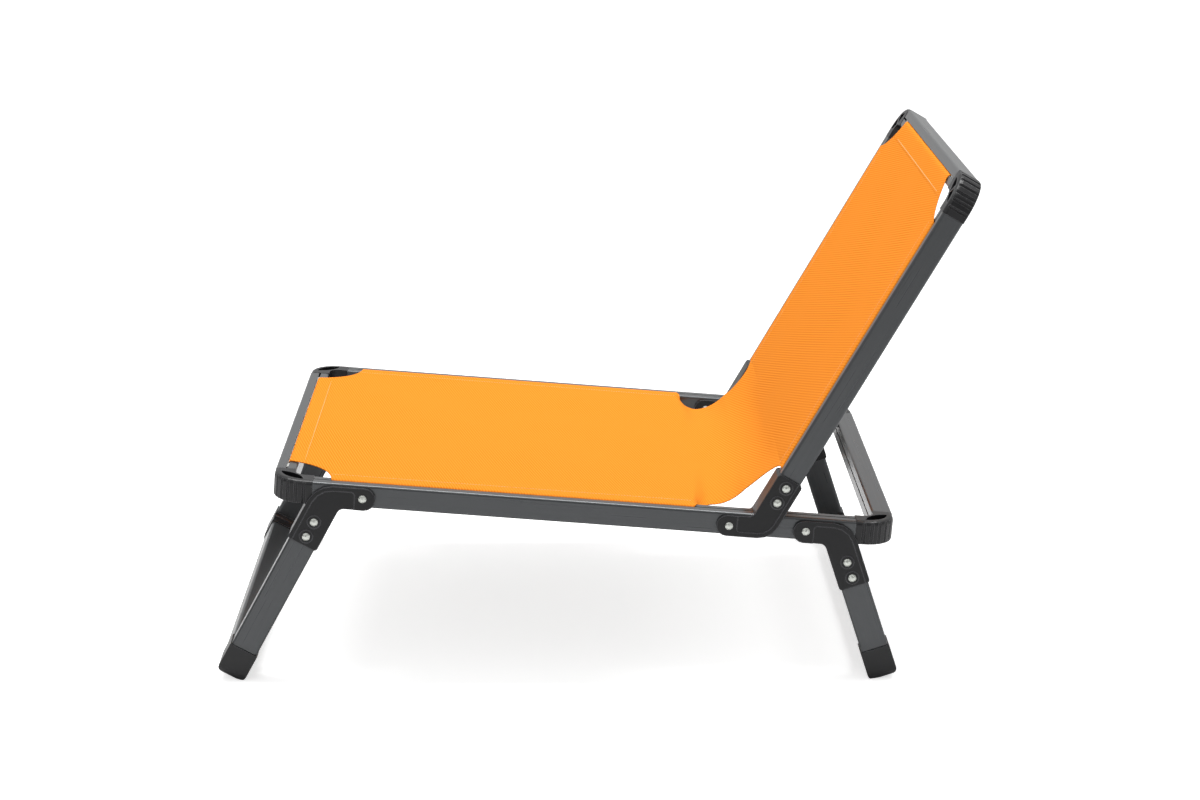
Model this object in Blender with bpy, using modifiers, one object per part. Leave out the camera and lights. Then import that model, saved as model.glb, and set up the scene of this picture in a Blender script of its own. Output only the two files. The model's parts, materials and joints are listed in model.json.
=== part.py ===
"""Low folding lounge chair: a slotted aluminium tube frame with moulded elbows,
three limbs on forked hinge brackets (backrest, front leg, rear leg) and one cloth
sling held by welt rods in the tubes' slots.

Each frame is drawn flat in its own local axes and placed by the empty it hangs from.
Seat axes: x from the front face to the rear, y across, z up from the rail's centre line.
Limb axes: origin on the hinge axis, x along the limb, y across, z square to the limb.
"""

import math
from collections import namedtuple

import bmesh
import bpy
from mathutils import Matrix, Vector

MM = 0.001

# Overall frame
FRAME_WIDTH = 0.560
SEAT_LENGTH = 0.738
BACK_LENGTH = 0.492
FRONT_HEIGHT = 0.2372
SEAT_TILT = math.radians(4.45)

# Hinge axes: along the rail from the seat's front face, and down from the rail's centre line
FRONT_LEG_PIVOT = 0.1077
BACK_FROM_REAR = 0.1983
REAR_LEG_FROM_REAR = 0.1073
PIVOT_DROP = 0.0017

# Open angle between each limb and the rail
FRONT_LEG_ANGLE = math.radians(65.85)
REAR_LEG_ANGLE = math.radians(67.35)
BACK_ANGLE = math.radians(64.5)

# Distance from each hinge axis to its limb's centre line
BACK_OFFSET = 0.0350
FRONT_LEG_OFFSET = 0.0370
REAR_LEG_OFFSET = 0.0355

# Tube sections: width across the frame, depth square to the frame's plane
TUBE_WIDTH = 0.025
RAIL_DEPTH = 0.0275
LEG_DEPTH = 0.033
TUBE_WALL = 0.0016
TUBE_RADIUS = 0.003

# Slot that holds the sling's welt rod
SLOT_FROM_OUTER = 0.0130
SLOT_WIDTH = 0.0024
SLOT_LIP = 0.0016
CHAMBER_RADIUS = 0.0026
WELT_RADIUS = 0.0023

# Ribbed frame elbows
ELBOW_RADIUS = 0.038
ELBOW_LEG = 0.048
ELBOW_PROUD = 0.0005
ELBOW_BAND = 0.0080
ELBOW_CORE = 0.0022
ELBOW_EDGE = 0.0050
ELBOW_LOWER_EDGE = 0.0018
ELBOW_FLOOR = 0.0060
ELBOW_WEB = 0.0040
RIB_COUNT = 7
RIB_PITCH = 0.0100
RIB_GROOVE = 0.0024
RIB_DEPTH = 0.0020
RIB_RIM = 0.0020
SPIGOT_LENGTH = 0.024

# Foot elbows
FOOT_LEG = 0.040
FOOT_BAR = 0.048
FOOT_RADIUS = 0.012
FOOT_INNER_RADIUS = 0.005
FOOT_SOLE = 0.008
FOOT_FLAT = 0.005
FOOT_PROUD = 0.0014
TOE_RADIUS = 0.010

# Forked hinge brackets
BRACKET_ARM = 0.025
BRACKET_TIP = 0.0150
LEG_ARM_EXTRA = 0.0018
BRACKET_END = 0.084
BRACKET_PLATE = 0.004
BRACKET_WALL = 0.0023
BACK_BEND = 0.026
LEG_BEND = 0.032
BRACKET_CROOK = 0.008
BRACKET_CORNER = 0.004
BRACKET_RIM = 0.0055
RIM_START = 0.0095
RIM_STEP = 0.0011
BOSS_RADIUS = 0.0080
STOP_GAP = 0.0005
TUBE_START = 0.046
RIVET_NEAR = 0.0523
RIVET_PITCH = 0.0202

# Rivets and hinge pins
PIN_RADIUS = 0.0030
HEAD_RADIUS = 0.0048
HEAD_RISE = 0.0020

# Sling
CLOTH = 0.0012
SLING_BEND = 0.084
SLING_SCOOP = 0.055
SCOOP_PLACE = 0.66
SCOOP_END = 0.027
SLING_CORNER_BAR = 0.078
SLING_CORNER_RAIL = 0.069
SLING_CORNER_BOW = 0.015
SEAT_HEM_END = 0.038
BACK_HEM_START = 0.089
WELT_TIP = 0.003
BAR_WELT_TIP = 0.015
BEND_STEPS = 16
BEND_COLUMNS = 12

# Fits
GAP = 0.0003

ARC_STEP = math.radians(22.5)
PIN_SIDES = 12

BACK_PIVOT = SEAT_LENGTH - BACK_FROM_REAR
REAR_LEG_PIVOT = SEAT_LENGTH - REAR_LEG_FROM_REAR
HALF_WIDTH = FRAME_WIDTH / 2
RAIL_Y = HALF_WIDTH - TUBE_WIDTH / 2
SLOT_DEPTH = SLOT_LIP + 2 * CHAMBER_RADIUS
HOLLOW_TOP = SLOT_DEPTH + TUBE_WALL
SLOT_Y = HALF_WIDTH - SLOT_FROM_OUTER
SLOT_OFFSET = SLOT_FROM_OUTER - TUBE_WIDTH / 2
CLOTH_REST = RAIL_DEPTH / 2 + GAP + CLOTH / 2
STOP_ABOVE = RAIL_DEPTH / 2 + PIVOT_DROP + STOP_GAP
STOP_BELOW = RAIL_DEPTH / 2 - PIVOT_DROP + STOP_GAP

# A limb: which way it leans, its hinge, the reach of the rail face that stops it,
# and its bracket's depth below the hinge and outer bend
Limb = namedtuple("Limb", "hand angle depth offset pivot stop under bend")
LEG_UNDER = BRACKET_ARM / 2 + LEG_ARM_EXTRA
BACK = Limb(
    1, BACK_ANGLE, RAIL_DEPTH, BACK_OFFSET, BACK_PIVOT, STOP_ABOVE, BRACKET_ARM / 2, BACK_BEND,
)
FRONT_LEG = Limb(
    1, FRONT_LEG_ANGLE, LEG_DEPTH, FRONT_LEG_OFFSET, FRONT_LEG_PIVOT, STOP_BELOW, LEG_UNDER, LEG_BEND,
)
REAR_LEG = Limb(
    -1, REAR_LEG_ANGLE, LEG_DEPTH, REAR_LEG_OFFSET, REAR_LEG_PIVOT, STOP_BELOW, LEG_UNDER, LEG_BEND,
)

ALONG_X = Matrix(((0, 0, 1, 0), (1, 0, 0, 0), (0, 1, 0, 0), (0, 0, 0, 1)))
ALONG_Y = Matrix(((1, 0, 0, 0), (0, 0, -1, 0), (0, 1, 0, 0), (0, 0, 0, 1)))
ALONG_Z = Matrix.Identity(4)


# Scene and materials

def clear_scene():
    for item in list(bpy.data.objects):
        bpy.data.objects.remove(item, do_unlink=True)


def new_collection(name):
    collection = bpy.data.collections.new(name)
    bpy.context.scene.collection.children.link(collection)
    return collection


clear_scene()
PARTS = new_collection("folding_lounge_chair")
TOOLS = new_collection("cutters")


def material(name, colour, roughness, metallic):
    made = bpy.data.materials.new(name)
    made.use_nodes = True
    shader = made.node_tree.nodes["Principled BSDF"]
    shader.inputs["Base Color"].default_value = (*colour, 1)
    shader.inputs["Roughness"].default_value = roughness
    shader.inputs["Metallic"].default_value = metallic
    return made


COATED_TUBE = material("anthracite_coated_aluminium", (0.085, 0.088, 0.092), 0.42, 0.35)
BLACK_NYLON = material("black_moulded_nylon", (0.022, 0.022, 0.024), 0.5, 0.0)
STEEL_RIVET = material("plated_rivet_steel", (0.72, 0.74, 0.71), 0.25, 1.0)
ORANGE_CLOTH = material("orange_sling_cloth", (1.0, 0.33, 0.03), 0.75, 0.0)
WHITE_WELT = material("white_welt_rod", (0.85, 0.85, 0.83), 0.5, 0.0)


# Outlines

def fillet_loop(corners):
    """Closed outline from (x, y, radius) corners, with each corner rounded by an arc."""
    points = []
    count = len(corners)
    for index, (x, y, radius) in enumerate(corners):
        here = Vector((x, y))
        before = (Vector(corners[index - 1][:2]) - here).normalized()
        after = (Vector(corners[(index + 1) % count][:2]) - here).normalized()
        opening = before.angle(after)
        if radius <= 0:
            points.append((x, y))
            continue
        reach = radius / math.tan(opening / 2)
        centre = here + (before + after).normalized() * radius / math.sin(opening / 2)
        start = here + before * reach - centre
        end = here + after * reach - centre
        turn = math.atan2(start.x * end.y - start.y * end.x, start.dot(end))
        steps = max(2, round(abs(turn) / ARC_STEP))
        for step in range(steps + 1):
            angle = turn * step / steps
            cos, sin = math.cos(angle), math.sin(angle)
            points.append((
                centre.x + start.x * cos - start.y * sin,
                centre.y + start.x * sin + start.y * cos,
            ))
    return points


def rectangle(left, low, right, high, radius=0.0):
    return fillet_loop([
        (left, low, radius), (right, low, radius), (right, high, radius), (left, high, radius),
    ])


def arc(centre, radius, start, end, steps):
    points = []
    for step in range(steps + 1):
        angle = start + (end - start) * step / steps
        points.append((centre[0] + radius * math.cos(angle), centre[1] + radius * math.sin(angle)))
    return points


def outline_mesh(name, loops, depth):
    """Solid of the given thickness from flat loops; loops inside the first are holes."""
    curve = bpy.data.curves.new(name, "CURVE")
    curve.dimensions = "2D"
    curve.fill_mode = "BOTH"
    curve.extrude = depth / 2
    for loop in loops:
        spline = curve.splines.new("POLY")
        spline.points.add(len(loop) - 1)
        for point, (x, y) in zip(spline.points, loop):
            point.co = (x, y, 0, 1)
        spline.use_cyclic_u = True
    holder = bpy.data.objects.new(name, curve)
    TOOLS.objects.link(holder)
    graph = bpy.context.evaluated_depsgraph_get()
    mesh = bpy.data.meshes.new_from_object(holder.evaluated_get(graph))
    bpy.data.objects.remove(holder, do_unlink=True)
    bpy.data.curves.remove(curve)
    return welded(mesh)


def welded(mesh):
    shape = bmesh.new()
    shape.from_mesh(mesh)
    bmesh.ops.remove_doubles(shape, verts=shape.verts, dist=0.001 * MM)
    bmesh.ops.recalc_face_normals(shape, faces=shape.faces)
    shape.to_mesh(mesh)
    shape.free()
    return mesh


def cylinder_mesh(name, radius, length, sides):
    shape = bmesh.new()
    bmesh.ops.create_cone(
        shape, cap_ends=True, segments=sides, radius1=radius, radius2=radius, depth=length,
    )
    mesh = bpy.data.meshes.new(name)
    shape.to_mesh(mesh)
    shape.free()
    return mesh


def box_mesh(name, low, high):
    shape = bmesh.new()
    size = Vector(high) - Vector(low)
    place = Matrix.Translation((Vector(high) + Vector(low)) / 2) @ Matrix.Diagonal((*size, 1))
    bmesh.ops.create_cube(shape, size=1, matrix=place)
    mesh = bpy.data.meshes.new(name)
    shape.to_mesh(mesh)
    shape.free()
    return mesh


# Objects

def hinge_empty(name, parent, location, turn):
    empty = bpy.data.objects.new(name, None)
    PARTS.objects.link(empty)
    empty.parent = parent
    empty.location = location
    empty.rotation_euler = (0, turn, 0)
    return empty


def piece(name, mesh, finish, parent, location=(0, 0, 0), smooth=False):
    made = bpy.data.objects.new(name, mesh)
    PARTS.objects.link(made)
    made.parent = parent
    made.location = location
    if not mesh.materials:
        mesh.materials.append(finish)
    if smooth:
        mesh.shade_smooth()
        mesh.set_sharp_from_angle(angle=math.radians(40))
    return made


def tool(name, mesh, parent, location=(0, 0, 0)):
    made = bpy.data.objects.new(name, mesh)
    TOOLS.objects.link(made)
    made.parent = parent
    made.location = location
    made.hide_render = True
    made.display_type = "WIRE"
    return made


def boolean(target, other, operation, solver="EXACT"):
    modifier = target.modifiers.new(other.name, "BOOLEAN")
    modifier.operation = operation
    modifier.solver = solver
    modifier.object = other


def cut(target, mesh, location=(0, 0, 0), solver="EXACT"):
    boolean(target, tool(target.name + "_cut", mesh, target.parent, location), "DIFFERENCE", solver)


def join(target, mesh, location=(0, 0, 0)):
    boolean(target, tool(target.name + "_join", mesh, target.parent, location), "UNION")


def drill(target, x, y, z, radius, length, solver="EXACT"):
    """Hole across the frame, along y."""
    mesh = cylinder_mesh("drill", radius, length, PIN_SIDES)
    mesh.transform(Matrix.Rotation(math.pi / 2, 4, "X"))
    cut(target, mesh, (x, y, z), solver)


# Tubes

def tube_loops(width, depth, slot=None):
    """Section with its hollow; slot is where across its top the welt chamber opens."""
    half, top = width / 2, depth / 2
    if slot is None:
        inner = rectangle(-half + TUBE_WALL, -top + TUBE_WALL, half - TUBE_WALL, top - TUBE_WALL)
        return [rectangle(-half, -top, half, top, TUBE_RADIUS), inner]
    chamber_centre = (slot, top - SLOT_LIP - CHAMBER_RADIUS)
    mouth = math.asin(SLOT_WIDTH / 2 / CHAMBER_RADIUS)
    chamber = arc(chamber_centre, CHAMBER_RADIUS, math.pi / 2 - mouth, -3 * math.pi / 2 + mouth, 8)
    sides = fillet_loop([
        (-half, top, TUBE_RADIUS), (-half, -top, TUBE_RADIUS),
        (half, -top, TUBE_RADIUS), (half, top, TUBE_RADIUS),
    ])
    outer = sides + [(slot + SLOT_WIDTH / 2, top)] + chamber + [(slot - SLOT_WIDTH / 2, top)]
    inner = rectangle(-half + TUBE_WALL, -top + TUBE_WALL, half - TUBE_WALL, top - HOLLOW_TOP)
    return [outer, inner]


def hollow_box(width, depth, slotted):
    """Limits of the section's hollow, less the spigot's clearance."""
    top = depth / 2 - (HOLLOW_TOP if slotted else TUBE_WALL) - GAP
    side = width / 2 - TUBE_WALL - GAP
    return (-side, -depth / 2 + TUBE_WALL + GAP, side, top)


def side_tube(name, parent, start, end, y, z, depth, slot=None):
    mesh = outline_mesh(name, tube_loops(TUBE_WIDTH, depth, slot), end - start)
    mesh.transform(ALONG_X)
    return piece(name, mesh, COATED_TUBE, parent, ((start + end) / 2, y, z), smooth=True)


def cross_tube(name, parent, x, z, reach, depth, slot=None):
    mesh = outline_mesh(name, tube_loops(TUBE_WIDTH, depth, slot), 2 * (HALF_WIDTH - reach))
    mesh.transform(ALONG_Y)
    return piece(name, mesh, COATED_TUBE, parent, (x, 0, z), smooth=True)


def inward_slot_tube(name, parent, x, z, reach, depth):
    """Cross tube with its slot in the face that looks forwards."""
    slot = depth / 2 - SLOT_FROM_OUTER
    mesh = outline_mesh(name, tube_loops(depth, TUBE_WIDTH, slot), 2 * (HALF_WIDTH - reach))
    mesh.transform(ALONG_Y @ Matrix.Rotation(math.pi / 2, 4, "Z"))
    return piece(name, mesh, COATED_TUBE, parent, (x, 0, z), smooth=True)


# Elbows

def corner_points(points, corner, along, across):
    """Corner outline (distance along the rail, distance along the bar) in frame axes."""
    return [(corner[0] + along * a, corner[1] + across * b) for a, b in points]


def spigots(target, corner, along, across, leg, bar, z, rail_hollow, bar_hollow):
    """Two plugs that stand inside the ends of the rail and of the bar."""
    overlap = 2 * MM
    middle = TUBE_WIDTH / 2
    low, floor, high, top = rail_hollow
    ends = sorted((corner[0] + along * (leg - overlap), corner[0] + along * (leg + SPIGOT_LENGTH)))
    centre = corner[1] + across * middle
    join(target, box_mesh("rail_plug", (ends[0], centre + low, z + floor), (ends[1], centre + high, z + top)))
    low, floor, high, top = bar_hollow
    ends = sorted((corner[1] + across * (bar - overlap), corner[1] + across * (bar + SPIGOT_LENGTH)))
    centre = corner[0] + along * middle
    join(target, box_mesh("bar_plug", (centre + low, ends[0], z + floor), (centre + high, ends[1], z + top)))


def ribbed_elbow(name, parent, corner, along, across, z, bar_hollow, web=0.0):
    """Quarter bend of the rail's section, with flutes round its outside and a pocket on top."""
    height = RAIL_DEPTH + 2 * ELBOW_PROUD
    mesh = bend_mesh(name, corner, along, across, height)
    made = piece(name, mesh, BLACK_NYLON, parent, (0, 0, z), smooth=True)
    rail_hollow = hollow_box(TUBE_WIDTH, RAIL_DEPTH, True)
    spigots(made, corner, along, across, ELBOW_LEG, ELBOW_LEG, z, rail_hollow, bar_hollow)
    cut(made, pocket_mesh(corner, along, across, height, web), (0, 0, z))
    cut(made, rib_grooves(corner, along, across, height), (0, 0, z))
    return made


def bend_mesh(name, corner, along, across, height):
    """Rounded section carried along one collar, round the quarter bend and along the other."""
    inner, top = ELBOW_RADIUS - TUBE_WIDTH, height / 2
    section = fillet_loop([
        (inner, -top, 0), (ELBOW_RADIUS, -top, ELBOW_LOWER_EDGE), (ELBOW_RADIUS, top, ELBOW_EDGE),
        (inner, top, 0),
    ])
    shape = bmesh.new()
    last = [shape.faces.new([
        shape.verts.new((ELBOW_RADIUS - radius, ELBOW_LEG, z)) for radius, z in section
    ])]
    collar = ELBOW_LEG - ELBOW_RADIUS
    last = extruded(shape, last, (0, -collar, 0))
    turned = bmesh.ops.spin(
        shape, geom=last, cent=(ELBOW_RADIUS, ELBOW_RADIUS, 0), axis=(0, 0, 1),
        angle=math.pi / 2, steps=8, use_merge=False, use_duplicate=False,
    )
    last = [item for item in turned["geom_last"] if isinstance(item, bmesh.types.BMFace)]
    extruded(shape, last, (collar, 0, 0))
    bmesh.ops.remove_doubles(shape, verts=shape.verts, dist=0.001 * MM)
    partitions = [face for face in shape.faces if all(len(edge.link_faces) > 2 for edge in face.edges)]
    bmesh.ops.delete(shape, geom=partitions, context="FACES_ONLY")
    place = Matrix.Translation((corner[0], corner[1], 0)) @ Matrix.Diagonal((along, across, 1, 1))
    bmesh.ops.transform(shape, matrix=place, verts=shape.verts)
    bmesh.ops.recalc_face_normals(shape, faces=shape.faces)
    mesh = bpy.data.meshes.new(name)
    shape.to_mesh(mesh)
    shape.free()
    return mesh


def extruded(shape, faces, move):
    """Push the faces out by move; gives back the faces at the new end."""
    grown = bmesh.ops.extrude_face_region(shape, geom=faces)["geom"]
    corners = [item for item in grown if isinstance(item, bmesh.types.BMVert)]
    bmesh.ops.translate(shape, vec=move, verts=corners)
    return [item for item in grown if isinstance(item, bmesh.types.BMFace)]


def pocket_loop(first, last):
    """Part of the crescent between the fluted band and the inner wall, by angle."""
    outer_radius = ELBOW_RADIUS - ELBOW_BAND
    inner_radius = ELBOW_RADIUS - TUBE_WIDTH + ELBOW_CORE
    start, end = 1.01 * math.pi, 1.49 * math.pi
    steps = 8
    loop = arc((ELBOW_RADIUS, ELBOW_RADIUS), outer_radius, first, last, steps)
    for step in range(steps + 1):
        angle = last + (first - last) * step / steps
        share = (angle - start) / (end - start)
        inset = (outer_radius - inner_radius) * max(math.sin(math.pi * share), 0) ** 0.4
        if inset > 0.1 * MM:
            radius = outer_radius - inset
            loop.append((ELBOW_RADIUS + radius * math.cos(angle), ELBOW_RADIUS + radius * math.sin(angle)))
    return loop


def pocket_mesh(corner, along, across, height, web):
    """Crescent pocket, open upwards, with or without a web across its middle."""
    start, middle, end = 1.01 * math.pi, 1.25 * math.pi, 1.49 * math.pi
    loops = [pocket_loop(start, end)]
    if web:
        half = web / 2 / (ELBOW_RADIUS - TUBE_WIDTH / 2)
        loops = [pocket_loop(start, middle - half), pocket_loop(middle + half, end)]
    depth = height - ELBOW_FLOOR + 2 * MM
    mesh = outline_mesh("pocket", [corner_points(loop, corner, along, across) for loop in loops], depth)
    mesh.transform(Matrix.Translation((0, 0, height / 2 + 2 * MM - depth / 2)))
    return mesh


def band_point(distance, offset):
    """Point on the elbow's outer face, by distance from its middle, moved out by offset."""
    quarter = ELBOW_RADIUS * math.pi / 4
    beyond = max(abs(distance) - quarter, 0)
    angle = 1.25 * math.pi + max(-quarter, min(quarter, distance)) / ELBOW_RADIUS
    radius = ELBOW_RADIUS + offset
    a = ELBOW_RADIUS + radius * math.cos(angle)
    b = ELBOW_RADIUS + radius * math.sin(angle)
    return (a + beyond, b) if distance > 0 else (a, b + beyond)


def rib_grooves(corner, along, across, height):
    """Upright flutes spaced evenly round the bend, from the upper rim out through the underside."""
    shape = bmesh.new()
    middle = -RIB_RIM
    for index in range(RIB_COUNT):
        distance = (index - (RIB_COUNT - 1) / 2) * RIB_PITCH
        flute = band_point(distance, RIB_GROOVE - RIB_DEPTH)
        x, y = corner_points([flute], corner, along, across)[0]
        bmesh.ops.create_cone(
            shape, cap_ends=True, segments=8, radius1=RIB_GROOVE, radius2=RIB_GROOVE,
            depth=height, matrix=Matrix.Translation((x, y, middle)),
        )
    mesh = bpy.data.meshes.new("grooves")
    shape.to_mesh(mesh)
    shape.free()
    return mesh


def foot_elbow(name, parent, end, across, z, ground):
    """Square-shouldered elbow at the leg's end, its sole cut flat where it meets the floor."""
    corner = (end, across * -HALF_WIDTH)
    bar_inner = FOOT_SOLE + TUBE_WIDTH + FOOT_PROUD
    leg_inner = TUBE_WIDTH + FOOT_PROUD
    outline = fillet_loop([
        (0, -FOOT_PROUD, FOOT_RADIUS), (FOOT_LEG, -FOOT_PROUD, 0), (FOOT_LEG, leg_inner, 0),
        (bar_inner, leg_inner, FOOT_INNER_RADIUS), (bar_inner, FOOT_BAR, 0), (0, FOOT_BAR, 0),
    ])
    mesh = outline_mesh(name, [corner_points(outline, corner, -1, across)], LEG_DEPTH + 2 * FOOT_PROUD)
    made = piece(name, mesh, BLACK_NYLON, parent, (0, 0, z), smooth=True)
    half = LEG_DEPTH / 2 + FOOT_PROUD
    toe = fillet_loop([
        (end - 2 * FOOT_LEG, -half, 0), (end, -half, TOE_RADIUS), (end, half, TOE_RADIUS),
        (end - 2 * FOOT_LEG, half, 0),
    ])
    profile = outline_mesh("toe", [toe], 2 * FRAME_WIDTH)
    profile.transform(ALONG_Y)
    boolean(made, tool(name + "_toe", profile, parent, (0, 0, z)), "INTERSECT")
    hollow = hollow_box(TUBE_WIDTH, LEG_DEPTH, False)
    overlap = 2 * MM
    low, floor, high, top = hollow
    rail_y = across * -RAIL_Y
    join(made, box_mesh(
        "leg_plug", (end - FOOT_LEG - SPIGOT_LENGTH, rail_y + low, z + floor),
        (end - FOOT_LEG + overlap, rail_y + high, z + top),
    ))
    bar_x = end - FOOT_SOLE - TUBE_WIDTH / 2
    sides = sorted((
        across * (FOOT_BAR - overlap - HALF_WIDTH), across * (FOOT_BAR + SPIGOT_LENGTH - HALF_WIDTH),
    ))
    join(made, box_mesh(
        "bar_plug", (bar_x + low, sides[0], z + floor), (bar_x + high, sides[1], z + top),
    ))
    boolean(made, ground, "DIFFERENCE")
    return made


# Hinge brackets, rivets and pins

def rivet_head(grip):
    """Half of the rivet's profile, from the crown of its dome to its shank."""
    return [
        (0, grip + HEAD_RISE), (HEAD_RADIUS * 0.7, grip + HEAD_RISE * 0.75),
        (HEAD_RADIUS, grip + HEAD_RISE * 0.25), (HEAD_RADIUS, grip), (PIN_RADIUS, grip),
    ]


def rivet_mesh():
    """Turned rivet with a domed head at each end."""
    grip = TUBE_WIDTH / 2 + GAP + BRACKET_PLATE + GAP
    profile = rivet_head(grip) + [(x, -z) for x, z in reversed(rivet_head(grip))]
    mesh = bpy.data.meshes.new("rivet")
    mesh.from_pydata([(x, 0, z) for x, z in profile], [(i, i + 1) for i in range(len(profile) - 1)], [])
    return mesh


def rivet(name, parent, x, y, z):
    made = piece(name, rivet_mesh(), STEEL_RIVET, parent, (x, y, z))
    made.rotation_euler = (math.copysign(math.pi / 2, -y), 0, 0)
    screw = made.modifiers.new("turn", "SCREW")
    screw.steps = 10
    screw.render_steps = 10
    screw.use_merge_vertices = True
    screw.merge_threshold = 0.01 * MM
    screw.use_smooth_shade = True
    return made


def bracket_axes(limb):
    """Directions along the rail from the hinge, and square to it on the limb's side."""
    arm = Vector((math.cos(limb.angle), -limb.hand * math.sin(limb.angle)))
    side = Vector((math.sin(limb.angle), limb.hand * math.cos(limb.angle)))
    return arm, side


def along_arm(limb, across, z):
    """Point at a distance across the arm, as far along it as limb height z."""
    arm, side = bracket_axes(limb)
    start = side * across
    return start + arm * ((z - start.y) / arm.y)


def bracket_outline(limb):
    """Arm along the rail from the hinge, bent into a socket along the limb."""
    arm, side = bracket_axes(limb)
    half_arm = BRACKET_ARM / 2
    half_limb = limb.depth / 2 + BRACKET_WALL
    inner_z = -limb.hand * (limb.offset - half_limb)
    outer_z = -limb.hand * (limb.offset + half_limb)
    tip = -arm * BRACKET_TIP
    nose = 0.98 * (half_arm + limb.under) / 2
    return fillet_loop([
        (*(tip + side * limb.under), nose), (*along_arm(limb, limb.under, inner_z), BRACKET_CROOK),
        (BRACKET_END, inner_z, BRACKET_CORNER), (BRACKET_END, outer_z, BRACKET_CORNER),
        (*along_arm(limb, -half_arm, outer_z), limb.bend), (*(tip - side * half_arm), nose),
    ])


def recess_outline(limb):
    """The outer face inside the raised rim that follows the bracket's convex edge."""
    arm, side = bracket_axes(limb)
    clear = limb.under + BRACKET_WALL
    rim = BRACKET_ARM / 2 - BRACKET_RIM
    half_limb = limb.depth / 2 + BRACKET_WALL
    inner_z = -limb.hand * (limb.offset - half_limb - BRACKET_WALL)
    outer_z = -limb.hand * (limb.offset + half_limb - BRACKET_RIM)
    far = BRACKET_END + BRACKET_WALL
    start = arm * RIM_START
    return fillet_loop([
        (*(start + side * clear), 0), (*along_arm(limb, clear, inner_z), 0), (far, inner_z, 0),
        (far, outer_z, 0), (*along_arm(limb, -rim, outer_z), limb.bend - BRACKET_RIM),
        (*(start - side * rim), BRACKET_CORNER),
    ])


def fork_outline(limb):
    """All the rail sweeps through between the plates; the wedge left over is the stop."""
    arm, side = bracket_axes(limb)
    far = 4 * BRACKET_END
    low = -limb.hand * limb.stop
    apex = Vector(((limb.stop - side.y * low) / side.x, low))
    beyond = apex + arm * far
    return [
        (far, low), tuple(apex), tuple(beyond), (-far, beyond.y),
        (-far, limb.hand * far), (far, limb.hand * far),
    ]


def rivet_bosses(limb):
    """Rings round the rivets, where the plate keeps its full thickness."""
    middle = -limb.hand * limb.offset
    return [
        arc((RIVET_NEAR + index * RIVET_PITCH, middle), BOSS_RADIUS, 0, 2 * math.pi, 16)[:-1]
        for index in range(2)
    ]


def upright(name, outline, thickness, holes=()):
    """Plate of the outline, standing across the frame's width."""
    mesh = outline_mesh(name, [outline, *holes], thickness)
    mesh.transform(ALONG_Y)
    return mesh


def hinge_bracket(name, parent, limb, y):
    """Moulded fork astride the rail, with a socket for the limb's tube."""
    inner_face = TUBE_WIDTH / 2 + GAP
    outer_face = inner_face + BRACKET_PLATE
    mesh = upright(name, bracket_outline(limb), 2 * outer_face)
    made = piece(name, mesh, BLACK_NYLON, parent, (0, y, 0), smooth=True)
    cut(made, upright("fork", fork_outline(limb), 2 * inner_face), (0, y, 0))
    half = limb.depth / 2 + GAP
    middle = -limb.hand * limb.offset
    cut(made, box_mesh(
        "socket", (TUBE_START - GAP, y - inner_face, middle - half),
        (2 * BRACKET_END, y + inner_face, middle + half),
    ))
    outward = math.copysign(1, y)
    recess = upright("recess", recess_outline(limb), 2 * RIM_STEP, rivet_bosses(limb))
    cut(made, recess, (0, y + outward * outer_face, 0), "MANIFOLD")
    length = 4 * outer_face
    drill(made, 0, y, 0, PIN_RADIUS + GAP, length, "MANIFOLD")
    for index in range(2):
        drill(made, RIVET_NEAR + index * RIVET_PITCH, y, middle, PIN_RADIUS + GAP, length, "MANIFOLD")
    return made


# Limbs

def limb_side(prefix, side, sign, parent, seat, limb):
    """Bracket, its two rivets and its hinge pin on one side of a limb."""
    y = sign * RAIL_Y
    hinge_bracket(f"{prefix}_bracket_{side}", parent, limb, y)
    for index, place in enumerate(("lower", "upper")):
        x = RIVET_NEAR + index * RIVET_PITCH
        rivet(f"{prefix}_rivet_{place}_{side}", parent, x, y, -limb.hand * limb.offset)
    rivet(f"{prefix}_hinge_pin_{side}", seat, limb.pivot, y, -PIVOT_DROP)


def drill_for_rivets(tube, y, z):
    for index in range(2):
        x = RIVET_NEAR + index * RIVET_PITCH
        drill(tube, x, y, z, PIN_RADIUS + GAP, 2 * TUBE_WIDTH)


SIDES = (("left", -1), ("right", 1))


def build_seat(seat):
    rail_hollow = hollow_box(TUBE_WIDTH, RAIL_DEPTH, True)
    side_low, side_floor, side_high, side_top = hollow_box(RAIL_DEPTH, TUBE_WIDTH, True)
    rear_hollow = (-side_top, side_low, -side_floor, side_high)
    tube_gap = ELBOW_LEG + GAP
    for side, sign in SIDES:
        rail = side_tube(
            f"seat_rail_{side}", seat, tube_gap, SEAT_LENGTH - tube_gap, sign * RAIL_Y, 0,
            RAIL_DEPTH, -sign * SLOT_OFFSET,
        )
        for pivot in (FRONT_LEG_PIVOT, BACK_PIVOT, REAR_LEG_PIVOT):
            drill(rail, pivot, sign * RAIL_Y, -PIVOT_DROP, PIN_RADIUS + GAP, 2 * TUBE_WIDTH)
        outer = sign * HALF_WIDTH
        ribbed_elbow(f"seat_elbow_front_{side}", seat, (0, outer), 1, -sign, 0, rail_hollow)
        ribbed_elbow(f"seat_elbow_rear_{side}", seat, (SEAT_LENGTH, outer), -1, -sign, 0, rear_hollow)
    cross_tube("seat_front_bar", seat, TUBE_WIDTH / 2, 0, tube_gap, RAIL_DEPTH, SLOT_OFFSET)
    inward_slot_tube("seat_rear_bar", seat, SEAT_LENGTH - TUBE_WIDTH / 2, 0, tube_gap, RAIL_DEPTH)


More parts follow.
